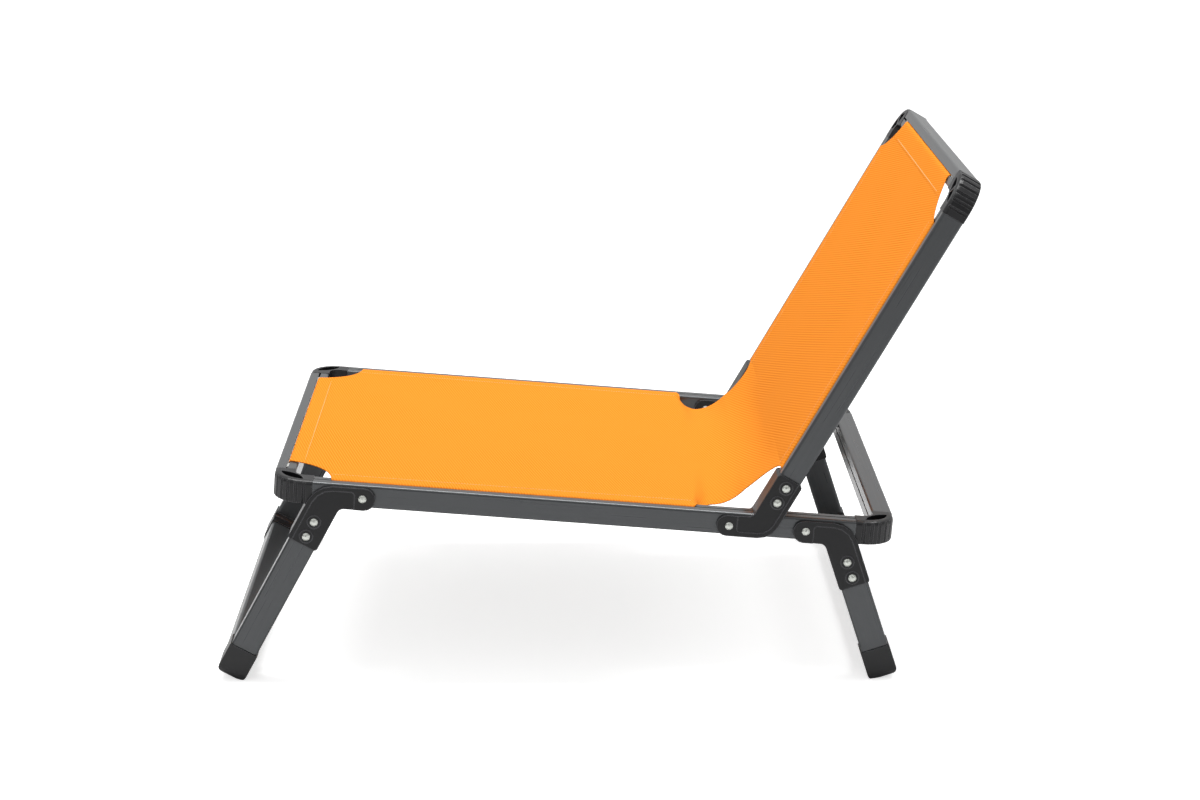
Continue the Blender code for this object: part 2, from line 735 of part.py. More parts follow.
def build_back(back, seat):
    top_hollow = hollow_box(TUBE_WIDTH, RAIL_DEPTH, True)
    z = -BACK_OFFSET
    tube_gap = ELBOW_LEG + GAP
    for side, sign in SIDES:
        y = sign * RAIL_Y
        rail = side_tube(
            f"back_rail_{side}", back, TUBE_START, BACK_LENGTH - tube_gap, y, z,
            RAIL_DEPTH, -sign * SLOT_OFFSET,
        )
        drill_for_rivets(rail, y, z)
        corner = (BACK_LENGTH, sign * HALF_WIDTH)
        ribbed_elbow(f"back_elbow_{side}", back, corner, -1, -sign, z, top_hollow, ELBOW_WEB)
        limb_side("back", side, sign, back, seat, BACK)
    cross_tube("back_top_bar", back, BACK_LENGTH - TUBE_WIDTH / 2, z, tube_gap, RAIL_DEPTH, -SLOT_OFFSET)


def build_leg(prefix, leg, seat, limb, end, ground):
    z = -limb.hand * limb.offset
    for side, sign in SIDES:
        y = sign * RAIL_Y
        tube = side_tube(
            f"{prefix}_tube_{side}", leg, TUBE_START, end - FOOT_LEG - GAP, y, z, LEG_DEPTH,
        )
        drill_for_rivets(tube, y, z)
        foot_elbow(f"{prefix}_foot_{side}", leg, end, -sign, z, ground)
        limb_side(prefix, side, sign, leg, seat, limb)
    bar_x = end - FOOT_SOLE - TUBE_WIDTH / 2
    cross_tube(f"{prefix}_bar", leg, bar_x, z, FOOT_BAR + GAP, LEG_DEPTH)


# Sling

def welt_rod(name, parent, start, end):
    """White rod in the slot's chamber, from start to end."""
    start, end = Vector(start), Vector(end)
    mesh = cylinder_mesh(name, WELT_RADIUS, (end - start).length, 8)
    turn = (end - start).to_track_quat("Z", "Y").to_matrix().to_4x4()
    mesh.transform(turn)
    return piece(name, mesh, WHITE_WELT, parent, (start + end) / 2, smooth=True)


def hem_lip(target, low, high, z):
    """Strip of cloth that goes down through the slot to its welt rod."""
    bottom = z - SLOT_LIP - CHAMBER_RADIUS + WELT_RADIUS + GAP
    join(target, box_mesh(
        "hem", (low[0], low[1], bottom), (high[0], high[1], z + GAP + CLOTH / 2),
    ))


def bowed(start, end):
    """Points from start to end along an arc that bows into the cloth."""
    run = Vector(end) - Vector(start)
    square = Vector((-run.y, run.x)).normalized()
    inward = square if square.y < 0 else -square
    points = []
    steps = 6
    for step in range(steps + 1):
        share = step / steps
        bow = SLING_CORNER_BOW * 4 * share * (1 - share)
        points.append(tuple(Vector(start) + run * share + inward * bow))
    return points


def sling_panel(name, parent, near, bar_slot, corner, z):
    """Flat panel from the end of its side hems to the bar, its corners cut back past the elbows."""
    half = CLOTH / 2
    outward = half if bar_slot > near else -half
    bar_y = HALF_WIDTH - SLING_CORNER_BAR
    edge = SLOT_Y + half
    outer = bar_slot + outward
    right = [(near, edge)] + bowed((corner, edge), (outer, bar_y))
    outline = right + [(x, -y) for x, y in reversed(right)]
    mesh = outline_mesh(name, [outline], CLOTH)
    made = piece(name, mesh, ORANGE_CLOTH, parent, (0, 0, z + GAP + half))
    low, high = sorted((near, corner))
    for sign in (-1, 1):
        hem_lip(made, (low, sign * SLOT_Y - half), (high, sign * SLOT_Y + half), z)
    hem_lip(made, (bar_slot - half, -bar_y), (bar_slot + half, bar_y), z)
    return made


def bend_stations():
    """Seat-plane points (x, z) down the middle of the cloth between the two hems."""
    level = CLOTH_REST + PIVOT_DROP
    back_level = CLOTH_REST - BACK_OFFSET
    cross_x = (math.cos(BACK_ANGLE) * level - back_level) / math.sin(BACK_ANGLE)
    tangent = SLING_BEND * math.tan(BACK_ANGLE / 2)
    start = cross_x - tangent
    flat = start + SEAT_HEM_END
    points = [(-SEAT_HEM_END + share * flat, level) for share in (0.02, 0.12, 0.3, 0.55, 0.8)]
    for step in range(BEND_STEPS + 1):
        angle = BACK_ANGLE * step / BEND_STEPS
        points.append((
            start + SLING_BEND * math.sin(angle), level + SLING_BEND * (1 - math.cos(angle)),
        ))
    for along in (BRACKET_END + GAP, BACK_HEM_START - GAP):
        points.append((
            along * math.cos(BACK_ANGLE) - back_level * math.sin(BACK_ANGLE),
            along * math.sin(BACK_ANGLE) + back_level * math.cos(BACK_ANGLE),
        ))
    return points


def free_edge(distance, length):
    """How far the cloth's free edge is cut in between the end of one hem and the start of the next."""
    if distance > length - GAP:
        return 0.0
    share = distance / length
    if share < SCOOP_PLACE:
        return SLING_SCOOP * math.sin(math.pi / 2 * share / SCOOP_PLACE) ** 3
    fall = math.cos(math.pi / 2 * (share - SCOOP_PLACE) / (1 - SCOOP_PLACE)) ** 2
    return SCOOP_END + (SLING_SCOOP - SCOOP_END) * fall


def sling_bend(name, seat):
    """Curved stretch of the sling between the hems, its free edges scooped inwards."""
    points = bend_stations()
    run = [0.0]
    for before, after in zip(points, points[1:]):
        run.append(run[-1] + math.dist(before, after))
    half = SLOT_Y + CLOTH / 2
    shape = bmesh.new()
    rows = []
    for (x, z), distance in zip(points, run):
        reach = half - free_edge(distance, run[-1])
        row = []
        for column in range(BEND_COLUMNS + 1):
            y = reach * (2 * column / BEND_COLUMNS - 1)
            row.append(shape.verts.new((BACK_PIVOT + x, y, z - PIVOT_DROP)))
        rows.append(row)
    for lower, upper in zip(rows, rows[1:]):
        for column in range(BEND_COLUMNS):
            shape.faces.new((lower[column], upper[column], upper[column + 1], lower[column + 1]))
    bmesh.ops.recalc_face_normals(shape, faces=shape.faces)
    mesh = bpy.data.meshes.new(name)
    shape.to_mesh(mesh)
    shape.free()
    made = piece(name, mesh, ORANGE_CLOTH, seat, smooth=True)
    thickness = made.modifiers.new("cloth", "SOLIDIFY")
    thickness.thickness = CLOTH
    thickness.offset = 0
    return made


def build_sling(seat, back):
    top = RAIL_DEPTH / 2
    back_top = top - BACK_OFFSET
    seat_end = BACK_PIVOT - SEAT_HEM_END
    back_bar = BACK_LENGTH - SLOT_FROM_OUTER
    back_corner = BACK_LENGTH - SLING_CORNER_RAIL
    sling_panel("sling_seat", seat, seat_end, SLOT_FROM_OUTER, SLING_CORNER_RAIL, top)
    sling_bend("sling_bend", seat)
    sling_panel("sling_back", back, BACK_HEM_START, back_bar, back_corner, back_top)
    bar_y = HALF_WIDTH - SLING_CORNER_BAR + BAR_WELT_TIP
    chamber = top - SLOT_LIP - CHAMBER_RADIUS
    back_chamber = chamber - BACK_OFFSET
    welt_rod("seat_welt_front", seat, (SLOT_FROM_OUTER, -bar_y, chamber), (SLOT_FROM_OUTER, bar_y, chamber))
    welt_rod("back_welt_top", back, (back_bar, -bar_y, back_chamber), (back_bar, bar_y, back_chamber))
    for side, sign in SIDES:
        y = sign * SLOT_Y
        welt_rod(
            f"seat_welt_{side}", seat, (SLING_CORNER_RAIL - WELT_TIP, y, chamber),
            (seat_end + WELT_TIP, y, chamber),
        )
        welt_rod(
            f"back_welt_{side}", back, (BACK_HEM_START - WELT_TIP, y, back_chamber),
            (back_corner + WELT_TIP, y, back_chamber),
        )


# Placing the frames

def rotated(point, turn):
    """Local (x, z) after a turn about the y axis."""
    x, z = point
    return (x * math.cos(turn) + z * math.sin(turn), z * math.cos(turn) - x * math.sin(turn))


FRONT_TURN = math.pi - FRONT_LEG_ANGLE
REAR_TURN = REAR_LEG_ANGLE
BACK_TURN = -BACK_ANGLE


def leg_end(limb, turn):
    """Limb length at which the foot's lowest corner, less its flat, meets the floor."""
    height = FRONT_HEIGHT + rotated((limb.pivot, -PIVOT_DROP), SEAT_TILT)[1]
    world = turn + SEAT_TILT
    half = LEG_DEPTH / 2 + FOOT_PROUD
    lowest = min(
        rotated((0, -limb.hand * limb.offset + sign * half), world)[1] for sign in (-1, 1)
    )
    return (height + lowest + FOOT_FLAT) / math.sin(world)


def main():
    front_end = leg_end(FRONT_LEG, FRONT_TURN)
    rear_end = leg_end(REAR_LEG, REAR_TURN)
    half = LEG_DEPTH / 2 + FOOT_PROUD
    toe = rotated((front_end, -FRONT_LEG_OFFSET - half), FRONT_TURN + SEAT_TILT)
    hip = rotated((FRONT_LEG_PIVOT, -PIVOT_DROP), SEAT_TILT)
    front_most = hip[0] + toe[0]
    crown = rotated((BACK_LENGTH, -BACK_OFFSET - RAIL_DEPTH / 2 - ELBOW_PROUD), BACK_TURN + SEAT_TILT)
    waist = rotated((BACK_PIVOT, -PIVOT_DROP), SEAT_TILT)
    rear_most = waist[0] + crown[0]
    seat = hinge_empty("seat_frame_axes", None, (-(front_most + rear_most) / 2, 0, FRONT_HEIGHT), SEAT_TILT)
    back = hinge_empty("back_hinge", seat, (BACK_PIVOT, 0, -PIVOT_DROP), BACK_TURN)
    front = hinge_empty("front_leg_hinge", seat, (FRONT_LEG_PIVOT, 0, -PIVOT_DROP), FRONT_TURN)
    rear = hinge_empty("rear_leg_hinge", seat, (REAR_LEG_PIVOT, 0, -PIVOT_DROP), REAR_TURN)
    ground = tool("floor_cut", box_mesh("floor_cut", (-2, -2, -1), (2, 2, 0)), None)
    build_seat(seat)
    build_back(back, seat)
    build_leg("front_leg", front, seat, FRONT_LEG, front_end, ground)
    build_leg("rear_leg", rear, seat, REAR_LEG, rear_end, ground)
    build_sling(seat, back)
    for empty in (seat, back, front, rear):
        bpy.context.view_layer.update()
        print(empty.name, [round(value, 6) for value in empty.matrix_world.translation])


main()
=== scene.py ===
# %% [markdown]
# # A low folding lounge chair
# The rigid pieces come from the CAD model: slotted aluminium tubes, moulded elbows, forked
# hinge brackets and rivets. This lesson adds what makes them look real: a studio, finishes
# made from nodes, and the cloth sling, cut and hung as one sheet.

# %% The frame
import json
import math

import bpy
from mathutils import Matrix, Vector


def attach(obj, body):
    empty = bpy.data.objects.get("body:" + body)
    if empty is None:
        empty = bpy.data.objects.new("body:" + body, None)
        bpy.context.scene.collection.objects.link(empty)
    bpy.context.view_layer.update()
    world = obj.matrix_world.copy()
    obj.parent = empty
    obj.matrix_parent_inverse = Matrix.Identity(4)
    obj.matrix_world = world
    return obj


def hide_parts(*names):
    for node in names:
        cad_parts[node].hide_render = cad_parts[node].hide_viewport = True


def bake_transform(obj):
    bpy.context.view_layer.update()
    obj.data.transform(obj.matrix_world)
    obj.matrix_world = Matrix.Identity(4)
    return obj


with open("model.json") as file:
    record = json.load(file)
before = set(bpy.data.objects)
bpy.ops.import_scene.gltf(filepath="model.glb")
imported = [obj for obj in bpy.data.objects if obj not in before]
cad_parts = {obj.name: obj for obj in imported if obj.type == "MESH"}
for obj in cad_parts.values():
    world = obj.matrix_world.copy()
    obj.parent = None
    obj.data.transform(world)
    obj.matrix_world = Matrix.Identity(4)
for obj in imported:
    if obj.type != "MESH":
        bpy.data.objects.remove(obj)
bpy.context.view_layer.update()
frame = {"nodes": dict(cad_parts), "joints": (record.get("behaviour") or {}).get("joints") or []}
nodes = frame["nodes"]

# %% [markdown]
# ## Camera
# A long lens from far away keeps the rails nearly parallel. The camera stands at the chair's
# near side, about half a metre above the backrest, and looks down at it. The view could be set
# with a Track To constraint, but the horizon has a small tilt, so three turns are multiplied.

# %% Camera
LENS = 81.0
VIEW_FROM = Vector((-0.0353, -3.32, 1.1442))
PITCH, YAW, ROLL = (math.radians(angle) for angle in (14.71, -0.83, 0.16))

turns = (
    Matrix.Rotation(ROLL, 3, "Y") @ Matrix.Rotation(PITCH, 3, "X") @ Matrix.Rotation(-YAW, 3, "Z")
)
rightward, forward, upward = turns
camera_data = bpy.data.cameras.new("studio_camera")
camera_data.lens = LENS
camera_data.sensor_width = 36.0
camera_data.clip_end = 100.0
camera = bpy.data.objects.new("studio_camera", camera_data)
bpy.context.collection.objects.link(camera)
camera.matrix_world = Matrix.Translation(VIEW_FROM) @ Matrix(
    (rightward, upward, -forward)
).transposed().to_4x4()
bpy.context.scene.camera = camera
print("camera looks along", [round(value, 3) for value in forward])

# %% [markdown]
# ## Node helpers
# Every finish below is a handful of shader nodes. A few small functions add a node, set its
# values and plug in its wires, so that a material reads from top to bottom.

# %% Helpers for finishes
def linear(code):
    """Scene-linear colour of an sRGB hex code."""
    values = [int(code[place:place + 2], 16) / 255 for place in (1, 3, 5)]
    return tuple(
        value / 12.92 if value <= 0.04045 else ((value + 0.055) / 1.055) ** 2.4
        for value in values
    ) + (1.0,)


def plug(tree, node, inputs):
    """Gives a node its inputs: a socket is wired in, anything else is set as the value."""
    for name, value in inputs.items():
        if isinstance(value, bpy.types.NodeSocket):
            tree.links.new(value, node.inputs[name])
        else:
            node.inputs[name].default_value = value


def add(tree, kind, inputs=None, **settings):
    """Adds a node with its settings and its inputs."""
    node = tree.nodes.new(kind)
    for name, value in settings.items():
        setattr(node, name, value)
    plug(tree, node, inputs or {})
    return node


def finish(name):
    """New node material with a bare Principled surface; returns both and the node tree."""
    made = bpy.data.materials.new(name)
    made.use_nodes = True
    return made, made.node_tree, made.node_tree.nodes["Principled BSDF"]


print("white is", linear("#ffffff"))

# %% Helpers for patterns
def noise(tree, place, scale, detail):
    """Cloudy noise; a bigger scale makes it finer."""
    inputs = {"Vector": place, "Scale": scale, "Detail": detail}
    return add(tree, "ShaderNodeTexNoise", inputs).outputs["Fac"]


def calc(tree, operation, *terms):
    """One step of arithmetic on sockets or plain numbers."""
    return add(tree, "ShaderNodeMath", dict(enumerate(terms)), operation=operation).outputs[0]


def remap(tree, value, span, reach=(0.0, 1.0), kind="LINEAR"):
    """Carries a value from one range over to another."""
    inputs = {
        "Value": value, "From Min": span[0], "From Max": span[1],
        "To Min": reach[0], "To Max": reach[1],
    }
    return add(tree, "ShaderNodeMapRange", inputs, interpolation_type=kind).outputs[0]


def mix(tree, share, first, second):
    """Colour on the way from one colour to another."""
    inputs = {0: share, 6: first, 7: second}
    return add(tree, "ShaderNodeMix", inputs, data_type="RGBA").outputs[2]


def bump(tree, height, strength, distance, normal=None):
    """Normal of a surface with a pattern raised on it."""
    inputs = {"Height": height, "Strength": strength, "Distance": distance}
    if normal is not None:
        inputs["Normal"] = normal
    return add(tree, "ShaderNodeBump", inputs).outputs[0]


print("pattern helpers:", [made.__name__ for made in (noise, calc, remap, mix, bump)])

# %% [markdown]
# ## Studio
# A product picture on white: a big floor that fades into a white surround, one wide soft lamp
# above and a weaker one in front. The floor gives off light of its own for the camera only, so
# it reads as white paper and still keeps the chair's soft shadow.

# %% Floor
PAPER_SIZE = 60.0
PAPER_GLOW = 0.64

bpy.ops.object.select_all(action="DESELECT")
bpy.ops.mesh.primitive_plane_add(size=PAPER_SIZE, location=(0, 0, 0))
floor = bpy.context.object
floor.name = "paper_floor"
paper, tree, surface = finish("white_backdrop_paper")
plug(tree, surface, {"Base Color": linear("#e6e6e6"), "Roughness": 0.9, "Specular IOR Level": 0.1})
seen = add(tree, "ShaderNodeLightPath").outputs["Is Camera Ray"]
light = add(tree, "ShaderNodeEmission", {"Strength": calc(tree, "MULTIPLY", seen, PAPER_GLOW)})
both = add(tree, "ShaderNodeAddShader", {0: surface.outputs[0], 1: light.outputs[0]})
plug(tree, tree.nodes["Material Output"], {"Surface": both.outputs[0]})
floor.data.materials.append(paper)
print("floor:", floor.dimensions[:])

# %% [markdown]
# The surround is white to the camera. What the tubes and rivets mirror is another matter: a
# studio has a bright ceiling and a white wall behind the chair, and a dim room on the camera's
# side. That step from light to dark draws the bright line along a rounded edge. So the light
# that isn't seen fades towards the room.

# %% Surround and lamps
SKY, WALL, ROOM = 0.68, 0.56, 0.14
ROOM_TO_WALL, LOW_TO_SKY = (-0.2, 0.5), (0.05, 0.75)

world = bpy.data.worlds.new("white_surround")
world.use_nodes = True
bpy.context.scene.world = world
tree = world.node_tree
seen = add(tree, "ShaderNodeLightPath").outputs["Is Camera Ray"]
aim = add(tree, "ShaderNodeTexCoord").outputs["Generated"]
toward = add(tree, "ShaderNodeSeparateXYZ", {0: aim})
low = remap(tree, toward.outputs["Y"], ROOM_TO_WALL, (ROOM, WALL), "SMOOTHSTEP")
fade = remap(tree, toward.outputs["Z"], LOW_TO_SKY, (low, SKY), "SMOOTHSTEP")
strength = add(tree, "ShaderNodeMix", {0: seen, 2: fade, 3: 1.0}).outputs[0]
plug(tree, tree.nodes["Background"], {"Color": (1, 1, 1, 1), "Strength": strength})


def lamp(name, place, aim, sides, watts):
    """Oblong soft lamp at a place, turned to a point."""
    data = bpy.data.lights.new(name, "AREA")
    data.shape = "RECTANGLE"
    data.size, data.size_y = sides
    data.energy = watts
    made = bpy.data.objects.new(name, data)
    bpy.context.collection.objects.link(made)
    made.location = place
    made.rotation_euler = (Vector(aim) - Vector(place)).to_track_quat("-Z", "Y").to_euler()


lamp("overhead_softbox", (0.2, 0.25, 3.0), (0.2, 0.25, 0), (3.8, 0.8), 87)
lamp("front_fill", (-1.6, -3.2, 1.7), (0, 0, 0.3), (1.8, 1.8), 8)
bpy.context.scene.view_settings.view_transform = "Standard"
print("lamps:", [item.name for item in bpy.data.lights])

# %% [markdown]
# ## Coated tubes
# The tubes are drawn aluminium with a satin anthracite coat. Drawing leaves faint streaks along
# the length, and the coat has a fine grain. The streaks are one noise pulled out along the tube,
# so each direction of tube gets its own copy of the finish, turned to lie along it. To the eye
# they give the long soft gleam of a drawn tube instead of flat grey paint.

# %% Satin anthracite coat
SEAT_TILT = math.radians(4.45)
BACK_ANGLE = math.radians(64.5)
FRONT_LEG_LEAN = math.radians(61.4)
REAR_LEG_LEAN = math.radians(-71.8)
TUBE_DARK, TUBE_LIGHT, TUBE_RUBBED = "#494b4d", "#545658", "#9a9c9f"
TUBE_CORNER = 0.0006
EDGE_TURN = (0.97, 0.80)
STREAK_PULL = 60.0


def soft_edge(tree, radius):
    """Normal rounded over sharp edges, and a mask of those edges."""
    rounded = add(tree, "ShaderNodeBevel", {"Radius": radius}, samples=6).outputs[0]
    plain = add(tree, "ShaderNodeNewGeometry").outputs["Normal"]
    turn = add(tree, "ShaderNodeVectorMath", {0: rounded, 1: plain}, operation="DOT_PRODUCT")
    return rounded, remap(tree, turn.outputs["Value"], EDGE_TURN)


def coated_tube(name, turn):
    """Satin coat whose drawing streaks run along x after the turn."""
    made, tree, surface = finish(name)
    place = add(tree, "ShaderNodeTexCoord").outputs["Object"]
    pull = {"Vector": place, "Rotation": turn, "Scale": (STREAK_PULL, 1.0, 1.0)}
    lie = add(tree, "ShaderNodeMapping", pull, vector_type="TEXTURE").outputs[0]
    streak = noise(tree, lie, 420.0, 3.0)
    grain = noise(tree, place, 1600.0, 2.0)
    mottle = calc(tree, "MULTIPLY", calc(tree, "ADD", streak, grain), 0.5)
    normal, edge = soft_edge(tree, TUBE_CORNER)
    share = remap(tree, mottle, (0.2, 0.8))
    tone = mix(tree, share, linear(TUBE_DARK), linear(TUBE_LIGHT))
    wear_and_highlight = calc(tree, "MULTIPLY", edge, grain)
    plug(tree, surface, {
        "Base Color": mix(tree, wear_and_highlight, tone, linear(TUBE_RUBBED)),
        "Metallic": 0.55,
        "Roughness": remap(tree, streak, (0.3, 0.7), (0.27, 0.33)),
        "Coat Weight": 0.42,
        "Coat Roughness": 0.14,
        "Normal": bump(tree, mottle, 0.04, 0.0001, normal),
    })
    return made


tube_finishes = {
    "seat_rail": coated_tube("coated_aluminium_seat_rail", (0, SEAT_TILT, 0)),
    "back_rail": coated_tube("coated_aluminium_back_rail", (0, SEAT_TILT - BACK_ANGLE, 0)),
    "front_leg_tube": coated_tube("coated_aluminium_front_leg", (0, -FRONT_LEG_LEAN, 0)),
    "rear_leg_tube": coated_tube("coated_aluminium_rear_leg", (0, -REAR_LEG_LEAN, 0)),
    "bar": coated_tube("coated_aluminium_crossbar", (0, 0, math.pi / 2)),
}
print("tube finishes:", len(tube_finishes))

# %% [markdown]
# ## Moulded nylon
# Elbows, feet and brackets are black glass-filled nylon. The mould leaves a fine eggshell grain.
# Their corners are painted paler as a highlight, patchy in strength. The Bevel node rounds the
# corners in the shading only, which is enough for the small highlights that tell the eye it is a
# moulding. The brackets have wider corners than the fluted elbows, so there are two copies.

# %% Black moulded nylon
NYLON_DARK, NYLON_LIGHT = "#141416", "#1c1c1e"


def moulded_nylon(name, radius, edge_highlight, shine):
    """Eggshell-grained nylon whose corners are rounded over a radius and painted a highlight
    colour.
    """
    made, tree, surface = finish(name)
    place = add(tree, "ShaderNodeTexCoord").outputs["Object"]
    grain = noise(tree, place, 1300.0, 3.0)
    cloud = noise(tree, place, 45.0, 4.0)
    normal, edge = soft_edge(tree, radius)
    tone = mix(tree, cloud, linear(NYLON_DARK), linear(NYLON_LIGHT))
    # The paler corner colour is a painted highlight, patchy with the cloud.
    highlight_patches = remap(tree, cloud, (0.0, 1.0), (0.4, 1.0))
    wear_and_highlight = calc(tree, "MULTIPLY", edge, highlight_patches)
    plug(tree, surface, {
        "Base Color": mix(tree, wear_and_highlight, tone, linear(edge_highlight)),
        "Roughness": remap(tree, cloud, (0.3, 0.7), (0.28, 0.38)),
        "Specular IOR Level": shine,
        "Normal": bump(tree, grain, 0.16, 0.0001, normal),
    })
    return made


# The third value is the colour of the painted highlight on the corners.
nylon = moulded_nylon("black_moulded_nylon", 0.0010, "#8e8e92", 0.50)
bracket_nylon = moulded_nylon("black_moulded_nylon_bracket", 0.0026, "#747478", 0.38)
print("nylon finishes:", nylon.name, bracket_nylon.name)

# %% [markdown]
# ## Rivets and welt rods
# The rivets are plated steel, set by a press: bright, with a slightly dimpled dome. The rods in
# the hems are extruded white plastic, of which only the tips show. Both are small, so a little
# noise in colour and height is all they need not to look like flat dots.

# %% Plated steel and white plastic
plated, tree, surface = finish("plated_rivet_steel")
place = add(tree, "ShaderNodeTexCoord").outputs["Object"]
dimple = noise(tree, place, 420.0, 3.0)
plug(tree, surface, {
    "Base Color": mix(tree, dimple, linear("#bcc0b8"), linear("#eff1ec")),
    "Metallic": 1.0,
    "Roughness": remap(tree, dimple, (0.0, 1.0), (0.16, 0.40)),
    "Normal": bump(tree, dimple, 0.5, 0.0004),
})

rod_white, tree, surface = finish("white_extruded_plastic")
place = add(tree, "ShaderNodeTexCoord").outputs["Object"]
haze = noise(tree, place, 260.0, 3.0)
plug(tree, surface, {
    "Base Color": mix(tree, haze, linear("#e4e4df"), linear("#f6f6f2")),
    "Roughness": 0.45,
    "Normal": bump(tree, haze, 0.2, 0.0002),
})
print("small finishes:", plated.name, rod_white.name)

# %% [markdown]
# ## Dressing the CAD pieces
# The name of a CAD piece says what it is made of, so its finish is chosen by name. The slots
# could be filled one by one, but a rule can't forget a piece. The three panels of the CAD sling
# get a finish too, though the sheet further down takes their place.

# %% Finishes on the CAD pieces
def finish_for(name):
    """The finish of a CAD piece, from its name."""
    if "welt" in name:
        return rod_white
    if "rivet" in name or "pin" in name:
        return plated
    for part, made in tube_finishes.items():
        if part in name:
            return made
    return bracket_nylon if "bracket" in name else nylon


for name, node in nodes.items():
    for slot in node.material_slots:
        slot.material = finish_for(name)
print("finishes in use:", sorted({finish_for(name).name for name in nodes}))

# %% [markdown]
# ## The sling's cut
# The seat and the back are one piece of cloth. Its long sides and both ends carry a sewn hem
# with a welt rod inside, which slides into the slot of the tube. The corners are cut away past
# the elbows, and a scoop is cut on each side where the cloth bends, to clear the hinges.
# Here the cut is written down as stations along the length: where the middle of the cloth is,
# which way is up from it, how wide it is there, whether its edge dips into a slot, and how far
# a free edge droops.

# %% Places on the seat and on the back
CLOTH_LEVEL = 0.01465
BACK_OFFSET = 0.0350
HINGE_AT = 0.5397
HINGE_DROP = 0.0017

joints = {joint["name"]: Vector(joint["pos_m"]) for joint in frame["joints"]}
hinge = joints["back_fold"]
along_seat = Vector((math.cos(SEAT_TILT), 0, -math.sin(SEAT_TILT)))
up_seat = Vector((math.sin(SEAT_TILT), 0, math.cos(SEAT_TILT)))
lean = BACK_ANGLE - SEAT_TILT
along_back = Vector((math.cos(lean), 0, math.sin(lean)))
up_back = Vector((-math.sin(lean), 0, math.cos(lean)))
back_level = CLOTH_LEVEL - BACK_OFFSET


def on_seat(x, z):
    """Point in the middle of the seat, from the rails' front end and middle line."""
    return hinge + along_seat * (x - HINGE_AT) + up_seat * (z + HINGE_DROP)


def on_back(x, z):
    """Point in the middle of the back, from the hinge."""
    return hinge + along_back * x + up_back * z


print("hinge in mm:", [round(1000 * value, 1) for value in hinge])

# %% Edges of the cut
SLOT_Y = 0.2670
BAR_HALF = 0.2020
CUT_STEPS = 14
SCOOP, SCOOP_START, SCOOP_HOLD = 0.046, 0.025, 0.064
DROOP, FULLNESS = 0.0104, 0.0030
DROOP_END, DROOP_SKEW = 0.53, 0.7
CLOTH_DIVE, EDGE_DIVE, DIVE_END = 0.15, 0.07, 0.2
ROLL_IN = 0.0025


def spread(start, end, steps):
    """Evenly spaced values from start to end, both included."""
    return [start + (end - start) * step / steps for step in range(steps + 1)]


def corner_cut(hem_end, slot, bow):
    """Bowed edge from the end of the side hem to the bar: (place along, half width) pairs."""
    run = Vector((slot - hem_end, BAR_HALF - SLOT_Y))
    square = Vector((-run.y, run.x)).normalized()
    inward = square if square.y < 0 else -square
    pairs = []
    for share in spread(0.0, 1.0, CUT_STEPS):
        sag = bow * 4 * share * (1 - share)
        place = Vector((hem_end, SLOT_Y)) + run * share + inward * sag
        pairs.append((place.x, place.y))
    return pairs


def scooped(distance, length):
    """How far the free edge is cut in between the end of one hem and the start of the next."""
    rise = math.sin(math.pi / 2 * min(distance / SCOOP_START, 1))
    fall = max(distance - SCOOP_HOLD, 0) / (length - SCOOP_HOLD)
    return SCOOP * rise * math.sqrt(max(1 - fall ** 2, 0))


def drooped(share):
    """How far the cloth beside the free edge hangs below its middle, and what the edge adds."""
    if share > DROOP_END:
        return -FULLNESS * math.sin(math.pi * (share - DROOP_END) / (1 - DROOP_END)), 0.0
    swell = math.sin(math.pi * (share / DROOP_END) ** DROOP_SKEW)
    slow = swell * math.sin(math.pi / 2 * min(share / CLOTH_DIVE, 1)) ** 2
    dive = math.sin(math.pi / 2 * min(share / EDGE_DIVE, 1)) if share < DIVE_END else swell
    return DROOP * slow, DROOP * (dive - slow)


def rolled(angle, reach=ROLL_IN):
    """(inset, drop) of the cloth as it rolls over into a slot."""
    return reach * (1 - math.sin(angle)), ROLL_IN * (1 - math.cos(angle))


deepest = max(sum(drooped(share)) for share in spread(0.0, 1.0, 50))
print("deepest droop in mm:", round(1000 * deepest, 1))

# %% [markdown]
# The stations start in the slot of the front bar. The cloth rolls up out of it, widens along the
# cut corners and then runs straight between the slots of the two rails. A hem's end is a hard
# corner, so the station after it comes less than a millimetre later.

# %% Stations on the seat
SLOT_IN = 0.0130
TUCK = 0.0034
SEAT_HEM = (0.0690, 0.4980)
SEAT_BOW = 0.0150
HEM_GAP = 0.0008
SEAT_STEPS = 32
FLAT = (0.0, 0.0)

quarter_turns = [math.radians(angle) for angle in (90, 60, 30, 0)]
stations = []
stations.append((on_seat(SLOT_IN, CLOTH_LEVEL - TUCK), up_seat, BAR_HALF, 0.0, FLAT))
for inset, drop in map(rolled, quarter_turns):
    stations.append((on_seat(SLOT_IN + inset, CLOTH_LEVEL - drop), up_seat, BAR_HALF, 0.0, FLAT))
for x, half in reversed(corner_cut(SEAT_HEM[0], SLOT_IN + ROLL_IN, SEAT_BOW)[:-1]):
    stations.append((on_seat(x, CLOTH_LEVEL), up_seat, half, 0.0, FLAT))
for x in spread(SEAT_HEM[0] + HEM_GAP, SEAT_HEM[1], SEAT_STEPS):
    stations.append((on_seat(x, CLOTH_LEVEL), up_seat, SLOT_Y, 1.0, FLAT))
print("stations on the seat:", len(stations))

# %% [markdown]
# Between the hems the cloth follows an arc that touches both frames. Only its middle is taut:
# the free edges droop about ten millimetres behind the seat's hem. All this could be a simulated
# drape, but a stretched sling hardly moves, so a drawn curve is steadier.

# %% Stations round the bend
BACK_HEM = (0.0890, 0.4280)
BEND_RADIUS = 0.084
BEND_STEPS = 40
FLAT_SHARES = (0.03, 0.07, 0.12, 0.2, 0.3, 0.45, 0.6, 0.75, 0.9)
BELOW_BACK_HEM = (0.0843, 0.0865, 0.0872, 0.0878, 0.0882, 0.0885, 0.0887)

